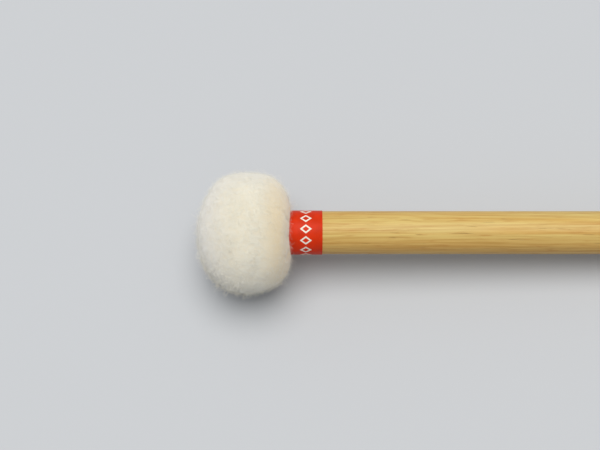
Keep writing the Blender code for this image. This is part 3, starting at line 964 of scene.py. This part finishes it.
class MALLET_OT_nap(Operator):
    """Grow the short fibres that make the felt's surface and edge soft"""

    bl_idname = "mallet.nap"
    bl_label = "Nap"

    def execute(self, context):
        sizes = mallet_sizes()
        fibre_finish()
        many = (random.Random(23), sizes.nap_count, sizes.nap_length)
        lines = list(standing_fibres(*many, (0.5, 1.5), (40, 90), 0.8, 0.12, 4))
        for part in range(NAP_PIECES):
            add_fibres(f"felt_nap_{part + 1}", lines[part::NAP_PIECES], sizes.fibre_thickness)
        return {"FINISHED"}


class MALLET_OT_matted_fibres(Operator):
    """Lay the tangled fibres on the felt"""

    bl_idname = "mallet.matted_fibres"
    bl_label = "Matted Fibres"

    def execute(self, context):
        sizes = mallet_sizes()
        rng = random.Random(31)
        lines = []
        for spot, outward in felt_spots(rng, sizes.matted_count):
            size = sizes.matted_length * rng.uniform(0.5, 1.4)
            along = any_way(rng, outward)
            lines.append(fibre_line(rng, spot, outward, along, size, 0.10 * MM, 0.2 * size, 7, loop=True))
        add_fibres("matted_fibres", lines, sizes.fibre_thickness)
        return {"FINISHED"}


class MALLET_OT_stray_fibres(Operator):
    """Add the few long fibres that stand off the felt"""

    bl_idname = "mallet.stray_fibres"
    bl_label = "Stray Fibres"

    def execute(self, context):
        sizes = mallet_sizes()
        few = (random.Random(47), sizes.stray_count, sizes.stray_length)
        lines = standing_fibres(*few, (0.6, 1.6), (15, 70), 0.75, 0.22, 12, loops=0.35)
        add_fibres("stray_fibres", lines, 1.8 * sizes.fibre_thickness)
        return {"FINISHED"}


class MALLET_OT_wisps(Operator):
    """Rub small locks of wool out of the side that the mallet is laid down on"""

    bl_idname = "mallet.wisps"
    bl_label = "Wisps"

    def execute(self, context):
        sizes = mallet_sizes()
        rng = random.Random(59)
        lines = []
        for spot, outward in felt_spots(rng, sizes.wisp_count):
            place = OFF_AXIS @ spot
            rubbed = math.cos(turn_of(place) - RUBBED_TURN)
            if rubbed < rng.uniform(0.3, 1.0) or place.x > rng.uniform(24, 30) * MM:
                continue
            size = sizes.wisp_length * rng.uniform(0.6, 1.5) * (1 - 0.5 * smooth(place.x / (10 * MM) - 1.5))
            lean = math.radians(rng.uniform(20, 65))
            along = any_way(rng, outward)
            across = along.cross(outward)
            loop = rng.random() < 0.3
            seed = rng.random()
            for _ in range(WISP_FIBRES):
                root = spot + (along * rng.uniform(-1, 1) + across * rng.uniform(-1, 1)) * WISP_WIDTH
                reach = size * math.cos(lean) * rng.uniform(0.8, 1.2)
                rise = 0.8 * size * math.sin(lean) * rng.uniform(0.8, 1.2)
                curl = 0.25 * size * rng.uniform(0.7, 1.3)
                bend = random.Random(seed)
                lines.append(fibre_line(bend, root, outward, along, reach, rise, curl, 8, loop))
        add_fibres("felt_wisps", lines, sizes.fibre_thickness)
        return {"FINISHED"}


# Shaft and label

PILOT_ROOM = 0.3 * MM
PILOT_DEPTH = 0.6 * MM
INK_HEIGHT = 0.02 * MM


def shaft_outline():
    """From the bottom of the screw's pilot hole over the tenon and its shoulder to the rounded butt."""
    sizes = mallet_sizes()
    edge = sizes.shoulder_rounding
    half = sizes.groove_width / 2
    shoulder = shoulder_station()
    pilot = screw_shank()[0] + PILOT_ROOM
    pilot_floor = SCREW.rear + PILOT_DEPTH
    outline = [(pilot_floor, 0.0), (pilot_floor - pilot, pilot), (SHAFT.front, pilot)]
    outline += front_corner(SHAFT.front, sizes.tenon_radius, 2 * edge, 4)
    for index in range(sizes.glue_grooves):
        middle = SHAFT.front + (shoulder - SHAFT.front) * (index + 1) / (sizes.glue_grooves + 1)
        outline += [
            (middle - half, sizes.tenon_radius),
            (middle, sizes.tenon_radius - sizes.groove_depth),
            (middle + half, sizes.tenon_radius),
        ]
    outline.append((shoulder, sizes.tenon_radius))
    outline += front_corner(shoulder, SHAFT.outer, edge, 4)
    outline += round_corner(SHAFT.rear, SHAFT.outer, sizes.butt_rounding, 16)
    return outline + [(SHAFT.rear, 0.0)]


def shoulder_station():
    """Station where the shaft steps down to its tenon."""
    middle = (mallet_sizes().tenon_radius + SHAFT.outer) / 2
    return min(place.x for place in places_of("shaft") if radius_of(place) > middle)


def screw_shank():
    """Radius of the screw's shank, and the station where its point starts."""
    ring = [place for place in places_of("core_screw") if place.x > SHAFT.front]
    return max(radius_of(place) for place in ring), min(place.x for place in ring)


class MALLET_OT_shaft(Operator):
    """Turn the hickory shaft"""

    bl_idname = "mallet.shaft"
    bl_label = "Shaft"

    def execute(self, context):
        bm = turned(shaft_outline(), 96)
        seat_piece("hickory_shaft", bm, hickory_finish(), "hickory", "shaft", sharp=50)
        return {"FINISHED"}


def tape_lift(wound):
    """How far the tape is lifted where, this far round from its start, it laps over its own start."""
    thickness = mallet_sizes().tape_thickness
    return (thickness + TAPE_SEAT) * smooth((wound - math.tau + TAPE_RAMP) / TAPE_RAMP)


def wind(bm):
    """Winds a flat strip, its length along y and its thickness along z, round the shaft."""
    for vertex in bm.verts:
        wound = vertex.co.y / TAPE_INNER
        radius = TAPE_INNER + vertex.co.z + tape_lift(wound)
        vertex.co = on_ring(vertex.co.x, radius, TAPE_END_TURN - TAPE_OVERLAP + wound)
    bmesh.ops.recalc_face_normals(bm, faces=bm.faces)


class MALLET_OT_label(Operator):
    """Wind the red tape round the shaft"""

    bl_idname = "mallet.label"
    bl_label = "Label"

    def execute(self, context):
        thickness = mallet_sizes().tape_thickness
        size = (LABEL.rear - LABEL.front, (math.tau + TAPE_OVERLAP) * TAPE_INNER, thickness)
        bm = bmesh.new()
        bmesh.ops.create_cube(bm, size=1.0)
        bmesh.ops.translate(bm, vec=(0.5, 0.5, 0.5), verts=bm.verts)
        bmesh.ops.scale(bm, vec=size, verts=bm.verts)
        bmesh.ops.translate(bm, vec=(LABEL.front, 0, 0), verts=bm.verts)
        bmesh.ops.bevel(
            bm,
            geom=bm.edges[:],
            offset=0.05 * MM,
            affect="EDGES",
            segments=2,
            profile=0.5,
            material=-1,
        )
        long_edges = [edge for edge in bm.edges if abs(edge.verts[0].co.y - edge.verts[1].co.y) > TAPE_INNER]
        bmesh.ops.subdivide_edges(bm, edges=long_edges, cuts=194, use_grid_fill=True)
        wind(bm)
        seat_piece("tape_label", bm, tape_finish(), "red_tape", "label", sharp=50)
        return {"FINISHED"}


class MALLET_OT_label_marks(Operator):
    """Print a plain ring of lozenges on the label"""

    bl_idname = "mallet.label_marks"
    bl_label = "Label Marks"

    def execute(self, context):
        sizes = mallet_sizes()
        visible_front = widest_station("cover") + sizes.rear_depth - sizes.lip_rounding
        middle = (visible_front + LABEL.rear) / 2
        pitch = math.tau * TAPE_INNER / sizes.marks
        bm = bmesh.new()
        for index in range(sizes.marks):
            ring = bmesh.ops.create_circle(bm, cap_ends=True, segments=4, radius=0.5)["verts"]
            bmesh.ops.scale(bm, vec=(sizes.mark_length, sizes.mark_width, 1), verts=ring)
            shift = (middle, (index + 0.5) * pitch + TAPE_OVERLAP * TAPE_INNER, sizes.tape_thickness)
            bmesh.ops.translate(bm, vec=shift, verts=ring)
        bmesh.ops.inset_individual(bm, faces=bm.faces[:], thickness=sizes.mark_stroke, use_even_offset=True)
        centres = [face for face in bm.faces if all(len(edge.link_faces) == 2 for edge in face.edges)]
        bmesh.ops.delete(bm, geom=centres, context="FACES_ONLY")
        bmesh.ops.subdivide_edges(bm, edges=bm.edges[:], cuts=5, use_grid_fill=True)
        grown = bmesh.ops.extrude_face_region(bm, geom=bm.faces[:])["geom"]
        raised = [item for item in grown if isinstance(item, bmesh.types.BMVert)]
        bmesh.ops.translate(bm, vec=(0, 0, INK_HEIGHT), verts=raised)
        wind(bm)
        seat_piece("label_marks", bm, ink_finish(), "red_tape", sharp=50)
        return {"FINISHED"}


# Drawstring

STRING_THICKNESS = DRAWSTRING.rear - DRAWSTRING.front
STRING_STATION = (DRAWSTRING.front + DRAWSTRING.rear) / 2
STRING_RADIUS = DRAWSTRING.outer - STRING_THICKNESS / 2
STRING_OPENING = 1.2 * MM
KNOT_HALF = 0.75 * MM
KNOT_WRAPS = 4


def knot_turn():
    """Turn of the knot's middle round the axis."""
    low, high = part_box("drawstring_knot")
    return turn_of(OFF_AXIS @ ((Vector(low) + Vector(high)) / 2))


def twisted(plies, twists, steps, place):
    """Lines twisted round each other; place makes a point of a share of the way and an angle of twist."""
    lines = []
    for ply in range(plies):
        shares = [step / steps for step in range(steps + 1)]
        lines.append([place(share, math.tau * (twists * share + ply / plies)) for share in shares])
    return lines


def string_lines():
    """Three plies that circle the shaft from one side of the knot to the other."""
    opening = STRING_OPENING / STRING_RADIUS
    start, end = knot_turn() + opening, knot_turn() + math.tau - opening
    offset = 0.27 * STRING_THICKNESS

    def place(share, twist):
        radius = STRING_RADIUS + offset * math.cos(twist)
        return on_ring(STRING_STATION + offset * math.sin(twist), radius, start + (end - start) * share)

    return twisted(3, STRING_RADIUS * abs(end - start) / (4 * STRING_THICKNESS), 420, place)


def knot_lines():
    """Two plies wrapped round each other, thinner towards the ends of the knot."""
    turn = knot_turn()

    def place(share, twist):
        side = KNOT_HALF * (2 * share - 1)
        waist = 0.19 * MM * (1 - 0.35 * abs(2 * share - 1))
        station = STRING_STATION + 0.1 * MM + 1.6 * waist * math.sin(twist)
        return on_ring(station, STRING_RADIUS + waist * math.cos(twist), turn + side / STRING_RADIUS)

    return twisted(2, KNOT_WRAPS, 96, place)


class MALLET_OT_drawstring(Operator):
    """Twist the drawstring round the collar and tie it"""

    bl_idname = "mallet.drawstring"
    bl_label = "Drawstring"

    def execute(self, context):
        finish = thread_finish()
        string = strands(string_lines(), 0.46 * STRING_THICKNESS, resolution=1, tip=1.0)
        seat_piece("plied_drawstring", string, finish, "thread", "drawstring")
        knot = strands(knot_lines(), 0.22 * MM, resolution=1, tip=1.0)
        seat_piece("tied_knot", knot, finish, "thread", "drawstring_knot")
        return {"FINISHED"}


# Felt under the cover

PAD_WALL = 0.6 * MM
HARD_LUMP_HEIGHT = 0.06 * MM
HARD_LUMP_SIZE = 1.6 * MM


def front_pad_outline():
    """Domed disc: its front follows the inside of the cover, and its flat back lies on the core."""
    edge = math.atan2(FRONT_PAD.outer, FRONT_PAD.rear - PAD_WALL - mallet_sizes().front_depth)
    rim = FRONT_PAD.outer
    return head_arc(math.pi, edge, 22, FRONT_PAD.front) + [
        (FRONT_PAD.rear - 0.3 * MM, rim - 0.02 * MM),
        (FRONT_PAD.rear - 0.08 * MM, rim - 0.12 * MM),
        (FRONT_PAD.rear, rim - 0.35 * MM),
        (FRONT_PAD.rear, 0.0),
    ]


def rear_pad_outline():
    """Domed washer round the shaft, between the core and the gathered neck."""
    edge = math.atan2(REAR_PAD.outer, REAR_PAD.front + PAD_WALL - mallet_sizes().front_depth)
    neck = head_angle(REAR_PAD.inner, FRONT_PAD.front)
    rim = REAR_PAD.outer
    front = [
        (REAR_PAD.front, REAR_PAD.inner + 0.15 * MM),
        (REAR_PAD.front, rim - 0.35 * MM),
        (REAR_PAD.front + 0.08 * MM, rim - 0.12 * MM),
    ]
    dome = head_arc(edge, neck, 16, FRONT_PAD.front)
    return front + dome + [(REAR_PAD.front + 0.15 * MM, REAR_PAD.inner)]


def liner_outline():
    """Section of the band between the core and the cover."""
    inset = FRONT_PAD.front
    tip = LINER.inner + 1.0 * MM
    edge = 0.25 * MM
    front = last_angle(math.pi / 2, math.pi, lambda angle: head_point(angle, inset)[1] > tip)
    rear = last_angle(0.0, math.pi / 2, lambda angle: head_point(angle, inset)[0] > LINER.rear)
    arc = head_arc(front, rear, 30, inset)
    return [(arc[0][0], LINER.inner + edge)] + arc + [
        (LINER.rear, LINER.inner + edge),
        (LINER.rear - edge, LINER.inner),
        (arc[0][0] + edge, LINER.inner),
    ]


def add_hard_felt(node, bm, finish):
    """Roughens a piece like pressed wool, and adds it as a piece that fills its place."""
    bm.normal_update()
    lumps = (noise.noise(vertex.co / HARD_LUMP_SIZE) for vertex in bm.verts)
    move_skin(bm, [vertex.normal * HARD_LUMP_HEIGHT * lump for vertex, lump in zip(bm.verts, lumps)])
    piece = seat_piece("felt_" + node, bm, finish, "hard_felt", node, sharp=60)


class MALLET_OT_inner_felts(Operator):
    """Cut the pads and the band of hard felt that fill the core out to a ball"""

    bl_idname = "mallet.inner_felts"
    bl_label = "Inner Felts"

    def execute(self, context):
        finish = hard_felt_finish()
        add_hard_felt("front_pad", turned(front_pad_outline(), 120), finish)
        add_hard_felt("rear_pad", turned(rear_pad_outline(), 120, closed=True), finish)
        seam = 0.5 * MM / LINER.inner
        band = swept(liner_outline(), seam / 2, math.tau - seam, 120)
        bmesh.ops.recalc_face_normals(band, faces=band.faces)
        add_hard_felt("liner", band, finish)
        return {"FINISHED"}


class MALLET_OT_screw_thread(Operator):
    """Cut the thread of the wood screw as a tapering ridge round its shank"""

    bl_idname = "mallet.screw_thread"
    bl_label = "Screw Thread"

    def execute(self, context):
        sizes = mallet_sizes()
        shank, point = screw_shank()
        root = shank - 0.05 * MM
        turns = (SCREW.rear - 0.5 * MM - SHAFT.front) / sizes.thread_pitch
        steps = round(28 * turns)
        half = 0.2 * sizes.thread_pitch
        ridge = ((-half, root), (0.0, shank + sizes.thread_height), (half, root))
        profile = [(SHAFT.front + along, radius) for along, radius in ridge]
        bm = swept(profile, 0.0, math.tau * turns, steps, sizes.thread_pitch * turns / steps)
        for vertex in bm.verts:
            started = smooth((vertex.co.x - SHAFT.front) / sizes.thread_pitch)
            slimmed = root + (radius_of(vertex.co) - root) * started
            taper = min(1.0, (SCREW.rear - vertex.co.x) / (SCREW.rear - point))
            vertex.co = on_ring(vertex.co.x, slimmed * taper, turn_of(vertex.co))
        bmesh.ops.recalc_face_normals(bm, faces=bm.faces)
        seat_piece("core_screw_thread", bm, bpy.data.materials["zinc_plated_steel"], "steel", sharp=30)
        return {"FINISHED"}


class MALLET_OT_core(Operator):
    """Finish the maple core and its zinc plated screw and washer"""

    bl_idname = "mallet.core"
    bl_label = "Core"

    def execute(self, context):
        zinc = zinc_finish()
        for node, material in (("core", maple_finish()), ("core_washer", zinc), ("core_screw", zinc)):
            solid = frame["nodes"][node]
            solid.data.materials.clear()
            solid.data.materials.append(material)
        return {"FINISHED"}


# Studio

PICTURE_WIDTH = 600
PICTURE_HEIGHT = 450
HEAD_MIDDLE_PIXEL = (247.0, 232.6)
SHAFT_WIDTH_PIXELS = 43.0
SENSOR = 36.0
LIGHT_TONE = (1.0, 0.985, 0.95)
FILL_TONE = (0.93, 0.97, 1.0, 1.0)


def seen_or_lit(tree, shader, output, seen, lit):
    """Fills a tree: camera and mirror rays meet the shader as seen, and all others as it lights the scene."""
    tree.nodes.clear()
    path = tree.nodes.new("ShaderNodeLightPath")
    either = path.outputs["Is Camera Ray"]
    for name in ("Is Glossy Ray", "Is Transmission Ray"):
        larger = tree.nodes.new("ShaderNodeMath")
        larger.operation = "MAXIMUM"
        tree.links.new(either, larger.inputs[0])
        tree.links.new(path.outputs[name], larger.inputs[1])
        either = larger.outputs[0]
    mix = tree.nodes.new("ShaderNodeMixShader")
    tree.links.new(either, mix.inputs[0])
    for index, values in ((1, lit), (2, seen)):
        node = tree.nodes.new(shader)
        for socket, value in zip(node.inputs, values):
            socket.default_value = value
        tree.links.new(node.outputs[0], mix.inputs[index])
    tree.links.new(mix.outputs[0], tree.nodes.new(output).inputs["Surface"])


def add_camera(studio):
    """A camera square to the shaft, placed so that the head falls where the photo has it."""
    pixels = SHAFT_WIDTH_PIXELS / (2 * SHAFT.outer)
    sideways = Vector((0, -math.cos(studio.elevation), math.sin(studio.elevation)))
    upwards = Vector((0, math.sin(studio.elevation), math.cos(studio.elevation)))
    middle = mallet_sizes().front_depth + (PICTURE_WIDTH / 2 - HEAD_MIDDLE_PIXEL[0]) / pixels
    target = Vector((middle, 0, 0)) + upwards * (HEAD_MIDDLE_PIXEL[1] - PICTURE_HEIGHT / 2) / pixels
    distance = PICTURE_WIDTH / pixels * studio.lens / SENSOR
    turn = Matrix((Vector((1, 0, 0)), upwards, sideways)).transposed().to_4x4()
    data = bpy.data.cameras.new("camera")
    data.lens = studio.lens
    data.sensor_width = SENSOR
    data.clip_start = 0.01
    data.clip_end = 20.0
    camera = bpy.data.objects.new("camera", data)
    camera.matrix_world = ON_AXIS @ Matrix.Translation(target + sideways * distance) @ turn
    bpy.context.scene.collection.objects.link(camera)
    bpy.context.scene.camera = camera


def add_light(studio):
    """Soft light from nearly overhead, the same all over the floor."""
    data = bpy.data.lights.new("overhead_light", "SUN")
    data.energy = studio.light_strength
    data.angle = studio.light_spread
    data.color = LIGHT_TONE
    lamp = bpy.data.objects.new("overhead_light", data)
    lamp.location = (0, 0, 1)
    lamp.rotation_euler.x = -studio.light_tilt
    bpy.context.scene.collection.objects.link(lamp)


class MALLET_OT_studio(Operator):
    """Set up the camera, the pale floor and the soft light"""

    bl_idname = "mallet.studio"
    bl_label = "Studio"

    def execute(self, context):
        studio = context.scene.mallet_studio
        add_camera(studio)
        add_light(studio)

        tone, shaded = (*studio.floor, 1.0), (*studio.floor_shade, 1.0)
        bm = bmesh.new()
        bmesh.ops.create_circle(bm, cap_ends=True, segments=64, radius=4.0)
        bmesh.ops.translate(bm, vec=(0, 0, -0.05 * MM), verts=bm.verts)
        mesh = to_mesh("floor", bm)
        material = bpy.data.materials.new("pale_floor")
        material.use_nodes = True
        tree = material.node_tree
        seen_or_lit(tree, "ShaderNodeBsdfDiffuse", "ShaderNodeOutputMaterial", (tone,), (shaded,))
        mesh.materials.append(material)
        floor = bpy.data.objects.new("floor", mesh)
        context.scene.collection.objects.link(floor)
        floor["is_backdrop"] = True

        world = bpy.data.worlds.new("pale_room")
        world.use_nodes = True
        context.scene.world = world
        fill = (FILL_TONE, studio.fill_strength)
        seen_or_lit(world.node_tree, "ShaderNodeBackground", "ShaderNodeOutputWorld", (tone, 1.0), fill)
        context.scene.view_settings.view_transform = "Standard"
        return {"FINISHED"}


# Add-on

OPERATORS = (
    MALLET_OT_studio,
    MALLET_OT_felt_cover,
    MALLET_OT_nap,
    MALLET_OT_matted_fibres,
    MALLET_OT_stray_fibres,
    MALLET_OT_wisps,
    MALLET_OT_shaft,
    MALLET_OT_label,
    MALLET_OT_label_marks,
    MALLET_OT_drawstring,
    MALLET_OT_inner_felts,
    MALLET_OT_core,
    MALLET_OT_screw_thread,
)


class MALLET_PT_looks(Panel):
    """Builds the pieces, and holds their sizes and colours"""

    bl_idname = "MALLET_PT_looks"
    bl_label = "Timpani Mallet"
    bl_space_type = "VIEW_3D"
    bl_region_type = "UI"
    bl_category = "Mallet"

    def draw(self, context):
        column = self.layout.column()
        for operator in OPERATORS:
            column.operator(operator.bl_idname)
        scene = context.scene
        for group in (scene.mallet_sizes, scene.mallet_colours, scene.mallet_studio):
            for name in group.__annotations__:
                column.prop(group, name)


GROUPS = {"mallet_sizes": MalletSizes, "mallet_colours": MalletColours, "mallet_studio": MalletStudio}


def register():
    for item in (*GROUPS.values(), *OPERATORS, MALLET_PT_looks):
        bpy.utils.register_class(item)
    for name, group in GROUPS.items():
        setattr(bpy.types.Scene, name, PointerProperty(type=group))


def unregister():
    for name in GROUPS:
        delattr(bpy.types.Scene, name)
    for item in reversed((*GROUPS.values(), *OPERATORS, MALLET_PT_looks)):
        bpy.utils.unregister_class(item)


def main():
    register()
    for operator in OPERATORS:
        getattr(bpy.ops.mallet, operator.bl_idname.split(".")[1])()
    boxes = {"solids": SOLID_BOX, "visual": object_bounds()}
    {name: [list(corner) for corner in box] for name, box in boxes.items()}


if __name__ == "__main__":
    main()
